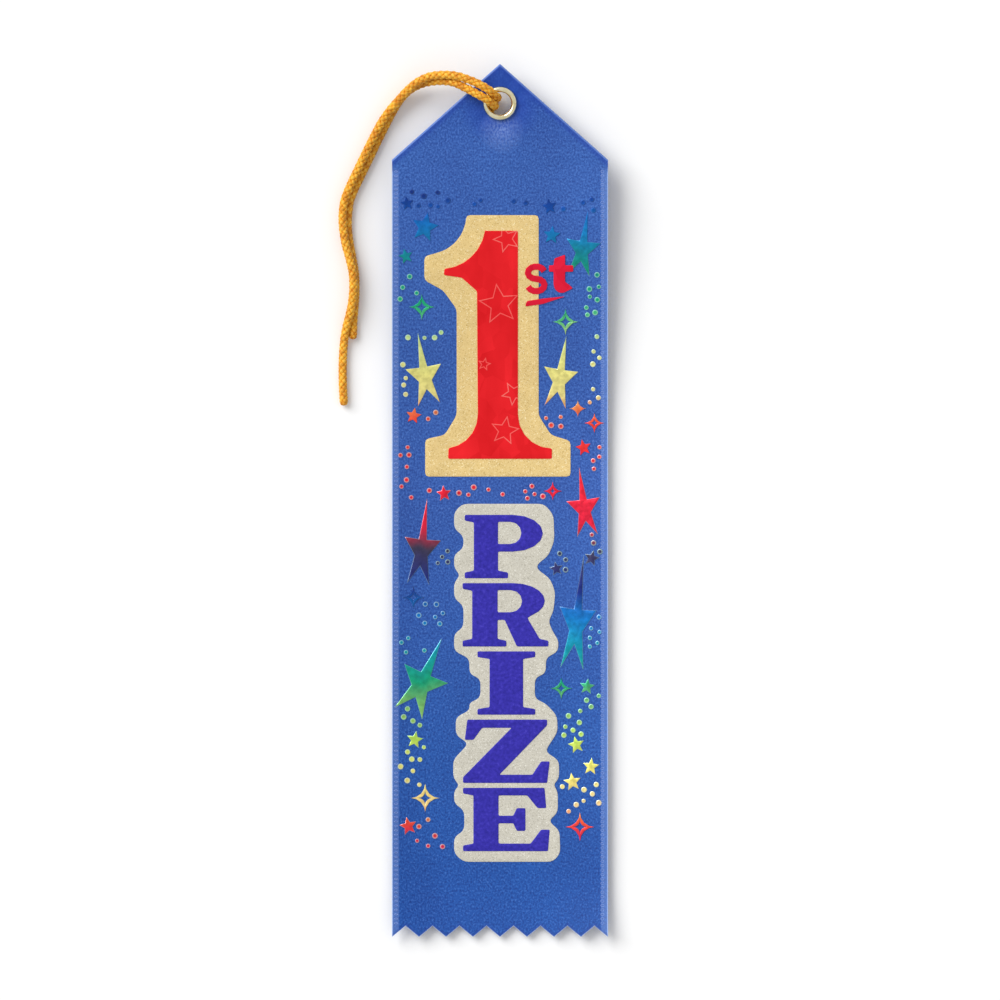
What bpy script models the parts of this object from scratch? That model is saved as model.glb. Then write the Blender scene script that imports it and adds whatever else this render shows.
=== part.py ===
"""Award ribbon: a satin strip with a pointed top, a brass eyelet, a hanging cord and bonded foil print.

The ribbon lies face up: +X to its right, +Y towards the pointed tip, +Z out of the printed face.
The origin is the middle of the strip's footprint, on the surface that it lies on.
Lengths are in metres. The outlines and the cord's route are written in millimetres and scaled by MM.
"""

from math import cos, pi, radians, sin, sqrt

import bmesh
import bpy

MM = 0.001

# Strip
RIBBON_WIDTH = 50.8 * MM
RIBBON_LENGTH = 205.3 * MM
SHEET = 0.3 * MM
TIP_SLOPE = radians(41.6)
TOOTH_COUNT = 8
TOOTH_DEPTH = 2.6 * MM
GAP = 0.25 * MM
FOLD_RADIUS = (SHEET + GAP) / 2
FOLD_STEPS = 4

# Eyelet and washer
EYE_BELOW_TIP = 9.27 * MM
HOLE_RADIUS = 2.65 * MM
BARREL_WALL = 0.27 * MM
FLANGE_RADIUS = 4.05 * MM
FLANGE_HEIGHT = 0.7 * MM
LIP_RADIUS = 3.75 * MM
LIP_HEIGHT = 0.45 * MM
WASHER_RADIUS = 4.6 * MM
WASHER_THICKNESS = 0.3 * MM
TURNED_SIDES = 40
CUTTER_HEIGHT = 10.0 * MM

# Cord
CORD_DIAMETER = 1.8 * MM
KNOT_HEIGHT = 3.2 * MM
KNOT_LENGTH = 6.0 * MM
KNOT_WIDTH = 6.6 * MM
KNOT_LEFT_OF_EYE = 3.0 * MM
CORD_POINT_STEP = 1.9 * MM
CORD_POINTS_BETWEEN = 8

# Print. The outlines below are in millimetres, and so are these two.
FOIL = 0.15 * MM
SAME_POINT = 0.01
LARGEST_SHARE = 0.4

# Places that follow from the sizes
BOTTOM_Y = -RIBBON_LENGTH / 2
TIP_Y = RIBBON_LENGTH / 2
EYE_Y = TIP_Y - EYE_BELOW_TIP
TOP_EDGE_Y = TIP_Y
FLAP_BACK = SHEET + 2 * FOLD_RADIUS
WASHER_TOP = FLAP_BACK + GAP
BARREL_REACH = WASHER_TOP + WASHER_THICKNESS + GAP
BARREL_RADIUS = HOLE_RADIUS + BARREL_WALL
CLEAR_RADIUS = BARREL_RADIUS + GAP
LIFT = KNOT_HEIGHT + GAP + LIP_HEIGHT + BARREL_REACH - SHEET
RISE_START = 8.0 * MM
RISE_END = 77.0 * MM
BEND_COUNT = 12
WELD = 0.001 * MM

BLUE = (0.055, 0.12, 0.42)
BRASS = (0.72, 0.62, 0.38)
GOLD_CORD = (0.75, 0.28, 0.02)
GOLD_GLITTER = (0.72, 0.56, 0.24)
SILVER_GLITTER = (0.60, 0.57, 0.50)
RED_FOIL = (0.65, 0.02, 0.03)
VIOLET_FOIL = (0.05, 0.03, 0.35)
NAVY_FOIL = (0.01, 0.08, 0.35)
CYAN_FOIL = (0.0, 0.20, 0.45)
GREEN_FOIL = (0.01, 0.30, 0.16)
PALE_FOIL = (0.65, 0.62, 0.22)
ORANGE_FOIL = (0.75, 0.10, 0.02)
MAGENTA_FOIL = (0.65, 0.01, 0.09)

# The cord's two strands, from behind the eyelet, over its rim and the strip's edge, to their free ends.
LONG_ROUTE = (
    (-0.6, 94.75, 3.5), (-0.6, 94.75, 4.8), (-0.74, 94.88, 6.15), (-1.15, 95.26, 7.28),
    (-1.82, 95.88, 8.18), (-2.72, 96.6, 8.76), (-3.85, 97.32, 8.98), (-5.5, 98.2, 8.92),
    (-7.8, 99.12, 8.6), (-10.4, 99.9, 8.3), (-13.5, 100.1, 7.5), (-16.6, 99.7, 6.2),
    (-19.4, 98.4, 4.95), (-21.7, 96.5, 3.95), (-23.7, 94.3, 3.25), (-25.7, 92.0, 2.9),
    (-27.7, 89.2, 2.65), (-29.3, 86.3, 2.55), (-32.8, 79.2, 2.5), (-36.1, 72.0, 2.5),
    (-36.95, 68.1, 2.55), (-36.95, 64.5, 2.65), (-36.35, 60.4, 2.8), (-35.4, 56.9, 2.9),
    (-34.65, 53.5, 2.95), (-34.5, 50.0, 2.95), (-34.8, 46.5, 2.9), (-35.4, 43.6, 2.7),
    (-36.05, 41.1, 2.25), (-36.6, 38.0, 1.5), (-36.9, 34.5, 1.0), (-37.0, 31.0, 0.93),
    (-36.95, 27.0, 0.93), (-36.7, 22.4, 0.93),
)
SHORT_ROUTE = (
    (-1.25, 92.8, 3.5), (-1.25, 92.8, 4.6), (-1.39, 92.95, 6.0), (-1.82, 93.35, 7.2),
    (-2.5, 93.93, 8.12), (-3.45, 94.55, 8.7), (-4.65, 95.2, 8.88), (-6.4, 96.14, 8.66),
    (-8.35, 97.14, 8.08), (-10.8, 98.25, 7.2), (-13.5, 98.65, 6.0), (-16.4, 98.45, 4.5),
    (-19.0, 97.75, 3.0), (-21.5, 96.3, 1.9), (-23.5, 94.2, 1.2), (-25.1, 91.65, 0.95),
    (-26.7, 88.6, 0.93), (-28.15, 85.7, 0.93), (-31.6, 78.6, 0.93), (-34.9, 71.55, 0.93),
    (-35.65, 67.9, 0.93), (-35.8, 64.5, 0.93), (-35.4, 60.6, 0.93), (-34.75, 57.1, 0.93),
    (-34.15, 53.5, 0.93), (-34.0, 50.0, 0.93), (-34.15, 46.5, 0.93), (-34.4, 43.4, 0.93),
    (-34.55, 40.8, 0.93), (-34.6, 38.0, 0.93),
)


def remove_objects():
    for thing in list(bpy.data.objects):
        bpy.data.objects.remove(thing)


def new_collection(name):
    collection = bpy.data.collections.new(name)
    bpy.context.scene.collection.children.link(collection)
    return collection


def finish(name, colour, roughness, metallic=0.0):
    """A plain Principled material."""
    material = bpy.data.materials.new(name)
    material.use_nodes = True
    shader = material.node_tree.nodes["Principled BSDF"]
    shader.inputs["Base Color"].default_value = (*colour, 1.0)
    shader.inputs["Roughness"].default_value = roughness
    shader.inputs["Metallic"].default_value = metallic
    return material


def place(name, data, collection, material=None):
    item = bpy.data.objects.new(name, data)
    collection.objects.link(item)
    if material:
        data.materials.append(material)
    return item


# Outlines


def arc(centre, radii, start, end, steps):
    """Points along an elliptical arc, both ends included. Angles are in degrees."""
    angles = [radians(start + (end - start) * k / steps) for k in range(steps + 1)]
    return [(centre[0] + radii[0] * cos(a), centre[1] + radii[1] * sin(a)) for a in angles]


def distance(a, b):
    return sqrt(sum((q - p) ** 2 for p, q in zip(a, b)))


def eased(points, radius, steps=2):
    """The outline with each corner rounded over the given length, or less on short sides."""
    points = [point for k, point in enumerate(points) if distance(point, points[k - 1]) > SAME_POINT]
    result = []
    for index, corner in enumerate(points):
        before = points[index - 1]
        after = points[(index + 1) % len(points)]
        ends = []
        for other in (before, after):
            along = (other[0] - corner[0], other[1] - corner[1])
            share = min(radius / distance(other, corner), LARGEST_SHARE)
            ends.append((corner[0] + along[0] * share, corner[1] + along[1] * share))
        for k in range(steps + 1):
            t = k / steps
            weights = ((1 - t) ** 2, 2 * t * (1 - t), t**2)
            trio = (ends[0], corner, ends[1])
            result.append(tuple(sum(w * p[axis] for w, p in zip(weights, trio)) for axis in (0, 1)))
    return result


def smooth(points, count):
    """Points spaced evenly in number along a smooth curve through every given point."""
    result = []
    last = len(points) - 1
    for index in range(last):
        quad = [points[max(min(index + k, last), 0)] for k in (-1, 0, 1, 2)]
        for step in range(count):
            t = step / count
            weights = (
                -0.5 * t + t**2 - 0.5 * t**3,
                1 - 2.5 * t**2 + 1.5 * t**3,
                0.5 * t + 2 * t**2 - 1.5 * t**3,
                -0.5 * t**2 + 0.5 * t**3,
            )
            result.append(tuple(sum(w * p[axis] for w, p in zip(weights, quad)) for axis in range(3)))
    return result + [points[-1]]


def evenly(points, step):
    """The same route with its points a fixed step apart, and its two ends kept."""
    travelled = [0.0]
    for a, b in zip(points, points[1:]):
        travelled.append(travelled[-1] + distance(a, b))
    count = round(travelled[-1] / step)
    result = []
    index = 0
    for k in range(count + 1):
        target = travelled[-1] * k / count
        while index < len(points) - 2 and travelled[index + 1] < target:
            index += 1
        share = (target - travelled[index]) / (travelled[index + 1] - travelled[index])
        result.append(tuple(p + (q - p) * share for p, q in zip(points[index], points[index + 1])))
    return result


def stroke(points, width):
    """The outline of a line of the given width drawn through the points, with square ends."""
    left, right = [], []
    for index, (x, y) in enumerate(points):
        before = points[max(index - 1, 0)]
        after = points[min(index + 1, len(points) - 1)]
        along = (after[0] - before[0], after[1] - before[1])
        length = distance(after, before)
        square = (-along[1] / length * width / 2, along[0] / length * width / 2)
        left.append((x + square[0], y + square[1]))
        right.append((x - square[0], y - square[1]))
    return left + right[::-1]


def star(centre, width, height, tilt=0.0, top_ray=1.25, waist=0.40):
    """A five-pointed star that fills the given width and height before it is tilted."""
    tall = top_ray + cos(radians(36))
    wide = 2 * sin(radians(72))
    points = []
    for k in range(10):
        angle = radians(90 + 36 * k)
        reach = waist if k % 2 else 1.0
        if k == 0:
            reach = top_ray
        x = reach * cos(angle) * width / wide
        y = (reach * sin(angle) - (top_ray - cos(radians(36))) / 2) * height / tall
        turn = radians(tilt)
        turned = (x * cos(turn) - y * sin(turn), x * sin(turn) + y * cos(turn))
        points.append((centre[0] + turned[0], centre[1] + turned[1]))
    return points


def sparkle(centre, size):
    """A four-pointed star with sides that curve inwards."""
    reach = size / 2
    points = []
    for quarter in range(4):
        across, up = (1, -1, -1, 1)[quarter], (1, 1, -1, -1)[quarter]
        corner = (centre[0] + reach * across, centre[1] + reach * up)
        start = 270 + 90 * quarter
        points += arc(corner, (reach, reach), start, start - 90, 4)[:-1]
    return points


def letter(outlines, centre_x, bottom_y, width, height):
    """Outlines drawn on a square of 100 by 100, set at their place and size."""
    return [
        [(centre_x + (x / 100 - 0.5) * width, bottom_y + y / 100 * height) for x, y in outline]
        for outline in outlines
    ]


def glyph_p():
    bowl = arc((58, 71), (36, 29), -90, 90, 8)
    outer = [(0, 0), (52, 0), (52, 9), (40, 12), (40, 42)] + bowl
    outer += [(0, 100), (0, 91), (11, 88), (11, 12), (0, 9)]
    return [outer, [(40, 54)] + arc((55, 71.5), (13, 17.5), -90, 90, 6) + [(40, 89)]]


def glyph_r():
    bowl = arc((58, 72), (36, 28), -55, 90, 8)
    foot = [(0, 0), (50, 0), (50, 9), (40, 12), (40, 42), (48, 42), (62, 0), (98, 0), (98, 9)]
    foot += [(88, 12), (74, 45)]
    outer = foot + bowl + [(0, 100), (0, 91), (11, 88), (11, 12), (0, 9)]
    return [outer, [(40, 54)] + arc((55, 71.5), (13, 17.5), -90, 90, 6) + [(40, 89)]]


def glyph_i():
    left = [(0, 100), (0, 91), (21, 88), (21, 12), (0, 9)]
    return [[(0, 0), (100, 0), (100, 9), (79, 12), (79, 88), (100, 91), (100, 100)] + left]


def glyph_z():
    lower = [(0, 0), (97, 0), (100, 34), (90, 34), (80, 13), (42, 13), (97, 91), (97, 100)]
    return [lower + [(5, 100), (2, 68), (12, 68), (22, 87), (56, 87), (0, 9)]]


def glyph_e():
    arms = [(0, 0), (98, 0), (100, 34), (90, 34), (78, 12), (41, 12)]
    arms += [(41, 44), (58, 44), (62, 32), (72, 32)]
    upper = [(72, 68), (62, 68), (58, 56), (41, 56), (41, 88), (74, 88), (86, 68), (96, 68), (94, 100)]
    return [arms + upper + [(0, 100), (0, 91), (12, 88), (12, 12), (0, 9)]]


def glyph_t():
    foot = arc((11.6, 2.1), (1.9, 2.1), 180, 290, 5)
    stem = [(14.2, 1.1), (13.4, 1.9), (12.4, 2.6), (12.4, 5.0)]
    bar = [(14.3, 5.0), (14.3, 6.5), (12.4, 6.5)]
    top = [(12.4, 9.0), (9.9, 8.1), (9.7, 6.5), (8.6, 6.5), (8.6, 5.0), (9.7, 5.0)]
    return [foot + stem + bar + top]


# The strip's shape


def rise(y):
    """Height of the sheet over the table: flat below, a smooth rise, and flat again round the eyelet."""
    t = min(max((y - RISE_START) / (RISE_END - RISE_START), 0.0), 1.0)
    return LIFT * t * t * (3 - 2 * t)


def folded(x, y):
    """Where a point of the flat strip lies once its top corner is folded to the back."""
    side = -1 if x < 0 else 1
    past = abs(x) * sin(TIP_SLOPE) + (y - TOP_EDGE_Y) * cos(TIP_SLOPE)
    if past <= 0:
        return x, y, 0.0
    turn = min(past / FOLD_RADIUS, pi)
    out = FOLD_RADIUS * sin(turn) - max(past - pi * FOLD_RADIUS, 0.0)
    shift = out - past
    drop = FOLD_RADIUS * (1 - cos(turn))
    return x + side * shift * sin(TIP_SLOPE), y + shift * cos(TIP_SLOPE), -drop


def cut_lines():
    """Points and normals of the lines across which the strip bends as it rises."""
    span = RISE_END - RISE_START
    return [((0, RISE_START + span * k / BEND_COUNT, 0), (0, 1, 0)) for k in range(BEND_COUNT + 1)]


def fold_lines():
    """Points and normals of the lines across which the top corners fold, in steps round each fold."""
    lines = []
    for side in (-1, 1):
        normal = (side * sin(TIP_SLOPE), cos(TIP_SLOPE), 0)
        for k in range(FOLD_STEPS + 1):
            past = pi * FOLD_RADIUS * k / FOLD_STEPS
            lines.append(((normal[0] * past, TOP_EDGE_Y + normal[1] * past, 0), normal))
    return lines


def flat_shape(name, outlines, thickness, collection):
    """Outlines filled and made solid, as a mesh. With no thickness it is one flat sheet."""
    curve = bpy.data.curves.new(name + "_outline", "CURVE")
    curve.dimensions = "2D"
    curve.fill_mode = "BOTH"
    curve.extrude = thickness / 2
    for outline in outlines:
        spline = curve.splines.new("POLY")
        spline.points.add(len(outline) - 1)
        for point, (x, y) in zip(spline.points, outline):
            point.co = (x, y, 0, 1)
        spline.use_cyclic_u = True
    guide = place(name + "_outline", curve, collection)
    seen = guide.evaluated_get(bpy.context.evaluated_depsgraph_get())
    mesh = bpy.data.meshes.new_from_object(seen)
    bpy.data.objects.remove(guide)
    mesh.name = name
    return mesh


def cut_across(mesh, lines):
    """Cuts the mesh along each line, so that it can bend there, and welds it."""
    work = bmesh.new()
    work.from_mesh(mesh)
    bmesh.ops.remove_doubles(work, verts=work.verts, dist=WELD)
    bmesh.ops.dissolve_limit(work, angle_limit=radians(1), verts=work.verts, edges=work.edges)
    for point, normal in lines:
        everything = work.verts[:] + work.edges[:] + work.faces[:]
        bmesh.ops.bisect_plane(work, geom=everything, dist=WELD / 10, plane_co=point, plane_no=normal)
    return work


def strip_outline():
    """The strip cut flat: square top corners and a pinked bottom edge."""
    half = RIBBON_WIDTH / 2
    pitch = RIBBON_WIDTH / TOOTH_COUNT
    points = [(half, BOTTOM_Y), (half, TOP_EDGE_Y), (-half, TOP_EDGE_Y)]
    for tooth in range(TOOTH_COUNT):
        tip_x = -half + tooth * pitch
        points += [(tip_x, BOTTOM_Y), (tip_x + pitch / 2, BOTTOM_Y + TOOTH_DEPTH)]
    return points


def make_strip(parts, cutters, material):
    mesh = flat_shape("ribbon_strip", [strip_outline()], 0.0, cutters)
    work = cut_across(mesh, cut_lines() + fold_lines())
    for vertex in work.verts:
        x, y, z = folded(vertex.co.x, vertex.co.y)
        vertex.co = (x, y, z + SHEET / 2 + rise(y))
    bmesh.ops.recalc_face_normals(work, faces=work.faces)
    work.to_mesh(mesh)
    work.free()
    strip = place("ribbon_strip", mesh, parts, material)
    solid = strip.modifiers.new("Sheet", "SOLIDIFY")
    solid.thickness = SHEET
    solid.offset = 0.0
    hole = strip.modifiers.new("Eyelet hole", "BOOLEAN")
    hole.operation = "DIFFERENCE"
    hole.object = make_hole_cutter(cutters)


def make_hole_cutter(cutters):
    mesh = bpy.data.meshes.new("eyelet_hole")
    work = bmesh.new()
    size = {"radius1": CLEAR_RADIUS, "radius2": CLEAR_RADIUS, "depth": CUTTER_HEIGHT}
    bmesh.ops.create_cone(work, cap_ends=True, segments=TURNED_SIDES, **size)
    work.to_mesh(mesh)
    work.free()
    cutter = place("eyelet_hole", mesh, cutters)
    cutter.location = (0, EYE_Y, LIFT)
    cutter.hide_render = True
    cutter.display_type = "WIRE"
    return cutter


# Metal


def turned_ring(name, profile, height, parts, material):
    """A closed profile of radius and height, turned about the eyelet's axis."""
    mesh = bpy.data.meshes.new(name)
    edges = [(k, (k + 1) % len(profile)) for k in range(len(profile))]
    mesh.from_pydata([(radius, 0, z) for radius, z in profile], edges, [])
    ring = place(name, mesh, parts, material)
    ring.location = (0, EYE_Y, height)
    turn = ring.modifiers.new("Turned", "SCREW")
    turn.axis = "Z"
    turn.steps = turn.render_steps = TURNED_SIDES
    turn.use_merge_vertices = True
    turn.merge_threshold = WELD
    turn.use_smooth_shade = True
    return ring


def make_eyelet(parts, material):
    middle = (HOLE_RADIUS + FLANGE_RADIUS) / 2
    flange = arc((middle, GAP), (FLANGE_RADIUS - middle, FLANGE_HEIGHT), 180, 0, 10)
    lip_middle = (HOLE_RADIUS + LIP_RADIUS) / 2
    lip = arc((lip_middle, -BARREL_REACH), (LIP_RADIUS - lip_middle, LIP_HEIGHT), 0, -180, 8)
    profile = flange + [(BARREL_RADIUS, GAP), (BARREL_RADIUS, -BARREL_REACH)] + lip
    turned_ring("eyelet", profile, LIFT + SHEET, parts, material)


def make_washer(parts, material):
    edge = WASHER_THICKNESS / 3
    top, bottom = -WASHER_TOP, -WASHER_TOP - WASHER_THICKNESS
    outer = [(WASHER_RADIUS - edge, top), (WASHER_RADIUS, top - edge), (WASHER_RADIUS, bottom + edge)]
    profile = [(CLEAR_RADIUS, top)] + outer + [(WASHER_RADIUS - edge, bottom), (CLEAR_RADIUS, bottom)]
    turned_ring("eyelet_washer", profile, LIFT + SHEET, parts, material)


# Cord


def make_strand(name, route, parts, material):
    curve = bpy.data.curves.new(name, "CURVE")
    curve.dimensions = "3D"
    curve.bevel_depth = CORD_DIAMETER / 2
    curve.bevel_resolution = 2
    curve.use_fill_caps = True
    points = evenly(smooth(route, CORD_POINTS_BETWEEN), CORD_POINT_STEP / MM)
    spline = curve.splines.new("POLY")
    spline.points.add(len(points) - 1)
    for point, (x, y, z) in zip(spline.points, points):
        point.co = (x * MM, y * MM, z * MM, 1)
    place(name, curve, parts, material)


def make_knot(parts, material):
    """The knot's outer shape, pressed flat between the eyelet and the table, under the hole's left rim."""
    mesh = bpy.data.meshes.new("cord_knot")
    work = bmesh.new()
    bmesh.ops.create_uvsphere(work, u_segments=20, v_segments=12, radius=0.5)
    bmesh.ops.scale(work, vec=(KNOT_LENGTH, KNOT_WIDTH, KNOT_HEIGHT), verts=work.verts)
    work.to_mesh(mesh)
    work.free()
    knot = place("cord_knot", mesh, parts, material)
    knot.location = (-KNOT_LEFT_OF_EYE, EYE_Y, KNOT_HEIGHT / 2)


# Print


def make_layer(name, outlines, level, parts, cutters, material):
    """One printed layer: a flat outline made solid, laid on the strip and bent with it."""
    metres = [[(x * MM, y * MM) for x, y in outline] for outline in outlines]
    mesh = flat_shape(name, metres, FOIL, cutters)
    work = cut_across(mesh, cut_lines())
    base = SHEET + GAP + level * (FOIL + GAP) + FOIL / 2
    for vertex in work.verts:
        vertex.co.z += base + rise(vertex.co.y)
    work.to_mesh(mesh)
    work.free()
    place(name, mesh, parts, material)


def numeral_outlines():
    flag = arc((-14.0, 65.0), (10.6, 10.6), -8, -85, 6)
    foil = [(-12.2, 9.8), (12.2, 9.8), (12.2, 12.2)]
    foil += arc((12.2, 20.2), (8.0, 8.0), -90, -180, 5) + [(4.2, 63.4), (-3.2, 63.4)]
    foil += flag + [(-13.2, 53.0), (-9.0, 52.4), (-5.4, 49.2)] + arc((-13.2, 20.2), (8.0, 8.0), 0, -82, 5)
    backing = [(-17.6, 5.6), (16.6, 5.6), (16.6, 14.0), (12.0, 15.4), (9.1, 20.0), (9.1, 67.1)]
    backing += [(-7.9, 67.1)] + arc((-17.0, 67.0), (9.1, 9.1), -12, -80, 4)
    backing += [(-17.8, 57.4), (-17.8, 51.8), (-13.4, 49.4), (-10.2, 45.0), (-10.2, 20.0)]
    backing += [(-13.0, 15.4), (-17.6, 14.4)]
    return eased(foil, 0.35), eased(backing, 0.9)


def ordinal_outlines():
    bowl = (1.95, 1.45)
    s_line = arc((8.5, 53.55), bowl, 15, 270, 9) + arc((8.5, 50.65), bowl, 90, -165, 9)[1:]
    t_shape = [(x + 2.9, y + 48.8) for x, y in glyph_t()[0]]
    dash = [(5.9, 45.6), (10.0, 46.2), (15.4, 48.0), (10.2, 47.5), (6.3, 46.9)]
    return stroke(s_line, 1.5), eased(t_shape, 0.25), eased(dash, 0.4)


def word_backing():
    right = [
        (10.4, -0.8), (12.6, -3.4), (12.8, -9.4), (11.4, -13.0), (8.8, -15.0), (8.8, -16.2),
        (11.8, -18.4), (13.0, -21.5), (12.6, -26.0), (11.4, -28.4), (12.4, -30.8), (13.8, -33.0),
        (13.6, -35.6), (10.8, -37.0), (10.8, -40.6), (8.2, -41.8), (8.2, -46.6), (10.8, -47.8),
        (13.4, -50.6), (13.6, -54.4), (10.6, -59.0), (13.9, -61.2), (13.9, -65.4), (12.6, -66.8),
        (13.6, -68.6), (13.6, -73.4), (11.4, -75.4), (14.0, -77.6), (14.2, -83.0), (12.4, -85.0),
    ]
    left = [
        (-8.6, -85.0), (-10.8, -83.0), (-10.8, -79.2), (-8.4, -77.6), (-8.4, -73.0), (-10.8, -71.2),
        (-10.8, -68.4), (-9.6, -67.0), (-11.0, -65.2), (-11.0, -61.0), (-7.4, -57.2), (-10.4, -55.2),
        (-10.4, -51.0), (-7.2, -49.4), (-7.2, -47.6), (-4.6, -46.4), (-4.6, -42.0), (-7.2, -40.8),
        (-7.2, -37.2), (-10.8, -35.4), (-10.8, -31.4), (-8.6, -29.8), (-8.6, -24.8), (-10.8, -23.0),
        (-10.8, -19.4), (-9.4, -17.6), (-10.8, -15.8), (-10.8, -12.8), (-8.6, -11.2), (-8.6, -8.4),
        (-10.8, -6.6), (-10.8, -2.8), (-8.8, -0.8),
    ]
    return eased(right + left, 1.3, 3)


def make_numeral(parts, cutters):
    foil, backing = numeral_outlines()
    s_shape, t_shape, dash = ordinal_outlines()
    glitter = finish("gold_glitter", GOLD_GLITTER, 0.5, 0.6)
    red = finish("red_foil", RED_FOIL, 0.25, 0.7)
    make_layer("numeral_glitter", [backing], 0, parts, cutters, glitter)
    make_layer("numeral_foil", [foil], 1, parts, cutters, red)
    make_layer("ordinal_s", [s_shape], 1, parts, cutters, red)
    make_layer("ordinal_t", [t_shape], 1, parts, cutters, red)
    make_layer("ordinal_dash", [dash], 1, parts, cutters, red)


def make_word(parts, cutters):
    glitter = finish("silver_glitter", SILVER_GLITTER, 0.5, 0.5)
    violet = finish("violet_foil", VIOLET_FOIL, 0.3, 0.5)
    make_layer("word_glitter", [word_backing()], 0, parts, cutters, glitter)
    centre_x, first_bottom, pitch, height = 1.5, -18.3, 16.05, 14.9
    letters = (
        ("letter_1_p", glyph_p, 19.6), ("letter_2_r", glyph_r, 20.6), ("letter_3_i", glyph_i, 13.6),
        ("letter_4_z", glyph_z, 20.4), ("letter_5_e", glyph_e, 20.4),
    )
    for index, (name, glyph, width) in enumerate(letters):
        outlines = letter(glyph(), centre_x, first_bottom - pitch * index, width, height)
        outlines = [eased(outline, 0.3) for outline in outlines]
        make_layer(name, outlines, 1, parts, cutters, violet)


def star_list():
    """Name, centre, width, height, tilt and colour of each foil star, down the strip."""
    return (
        ("star_small_01", (-21.9, 70.0), 3.0, 3.0, 8, NAVY_FOIL),
        ("star_small_02", (-17.6, 64.6), 6.2, 6.6, -12, CYAN_FOIL),
        ("star_small_03", (11.6, 69.3), 3.3, 3.4, 10, NAVY_FOIL),
        ("star_small_04", (12.2, 62.6), 4.0, 4.0, -6, CYAN_FOIL),
        ("star_small_05", (-22.2, 57.6), 3.4, 3.4, 14, CYAN_FOIL),
        ("star_small_06", (-20.3, 20.1), 3.6, 3.6, -10, ORANGE_FOIL),
        ("star_small_07", (19.6, 12.6), 3.6, 3.6, 12, ORANGE_FOIL),
        ("star_small_08", (-13.2, 1.8), 3.6, 3.6, 6, MAGENTA_FOIL),
        ("star_small_09", (21.6, -13.4), 3.6, 3.6, -14, NAVY_FOIL),
        ("star_small_10", (13.2, -15.9), 3.2, 3.2, 10, NAVY_FOIL),
        ("star_small_11", (20.5, -43.6), 3.6, 3.6, -8, GREEN_FOIL),
        ("star_small_12", (17.9, -57.3), 3.9, 3.9, 12, PALE_FOIL),
        ("star_small_13", (21.4, -62.4), 3.9, 3.9, -6, PALE_FOIL),
        ("star_small_14", (17.0, -66.0), 4.1, 4.1, 8, PALE_FOIL),
        ("star_small_15", (-20.0, -56.1), 3.9, 3.9, -10, PALE_FOIL),
        ("star_small_16", (-21.6, -76.4), 4.1, 4.1, 12, ORANGE_FOIL),
        ("star_large_1", (19.6, 60.6), 8.2, 15.4, -8, GREEN_FOIL),
        ("star_large_2", (-18.0, 31.0), 8.6, 17.2, 9, PALE_FOIL),
        ("star_large_3", (14.3, 30.4), 8.2, 17.2, -9, PALE_FOIL),
        ("star_large_4", (19.6, -0.2), 8.0, 16.4, 7, ORANGE_FOIL),
        ("star_large_5", (-18.2, -9.6), 8.6, 20.4, -6, MAGENTA_FOIL),
        ("star_large_6", (18.3, -26.2), 8.8, 27.0, -6, NAVY_FOIL),
        ("star_large_7", (-17.6, -41.2), 11.4, 19.4, -24, GREEN_FOIL),
    )


def sparkle_list():
    """Name, centre, size, rim and colour of each four-pointed sparkle. A rim of 0 is a solid one."""
    return (
        ("sparkle_1", (-18.4, 45.5), 6.3, 0.85, GREEN_FOIL),
        ("sparkle_2", (15.4, 42.0), 6.3, 0.85, GREEN_FOIL),
        ("sparkle_3", (18.3, 21.6), 4.2, 0.0, ORANGE_FOIL),
        ("sparkle_4", (22.2, 18.2), 4.8, 0.7, ORANGE_FOIL),
        ("sparkle_5", (12.4, 2.2), 4.4, 0.7, MAGENTA_FOIL),
        ("sparkle_6", (-20.4, -22.8), 5.2, 0.75, NAVY_FOIL),
        ("sparkle_7", (14.4, -44.2), 5.2, 0.75, GREEN_FOIL),
        ("sparkle_8", (-17.6, -70.0), 6.8, 0.9, PALE_FOIL),
        ("sparkle_9", (18.8, -76.8), 6.8, 0.9, ORANGE_FOIL),
    )


def make_stars(parts, cutters):
    for name, centre, width, height, tilt, colour in star_list():
        waist = 0.45 if name.startswith("star_small") else 0.36
        top_ray = 1.0 if name.startswith("star_small") else 1.3
        outline = star(centre, width, height, tilt, top_ray, waist)
        make_layer(name, [outline], 0, parts, cutters, finish(name, colour, 0.25, 0.7))
    for name, centre, size, rim, colour in sparkle_list():
        outlines = [sparkle(centre, size)]
        if rim:
            outlines.append(sparkle(centre, size - 4 * rim))
        make_layer(name, outlines, 0, parts, cutters, finish(name, colour, 0.25, 0.7))


def main():
    remove_objects()
    parts = new_collection("award_ribbon")
    cutters = new_collection("cutters")
    brass = finish("brass", BRASS, 0.3, 1.0)
    gold_cord = finish("gold_cord", GOLD_CORD, 0.8)
    make_strip(parts, cutters, finish("blue_satin", BLUE, 0.45))
    make_eyelet(parts, brass)
    make_washer(parts, brass)
    make_knot(parts, gold_cord)
    make_strand("cord_long_strand", LONG_ROUTE, parts, gold_cord)
    make_strand("cord_short_strand", SHORT_ROUTE, parts, gold_cord)
    make_numeral(parts, cutters)
    make_word(parts, cutters)
    make_stars(parts, cutters)


main()
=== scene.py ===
"""Looks for the award ribbon: curled satin, foil and glitter print, a brass eyelet and a braided cord.

Lengths are in metres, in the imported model's frame: +Y to the pointed tip, +Z out of the printed face.
"""

import random
from math import atan2, cos, exp, hypot, pi, radians, sin, sqrt

import bmesh
import bpy
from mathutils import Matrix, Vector, noise
from mathutils.bvhtree import BVHTree


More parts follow.
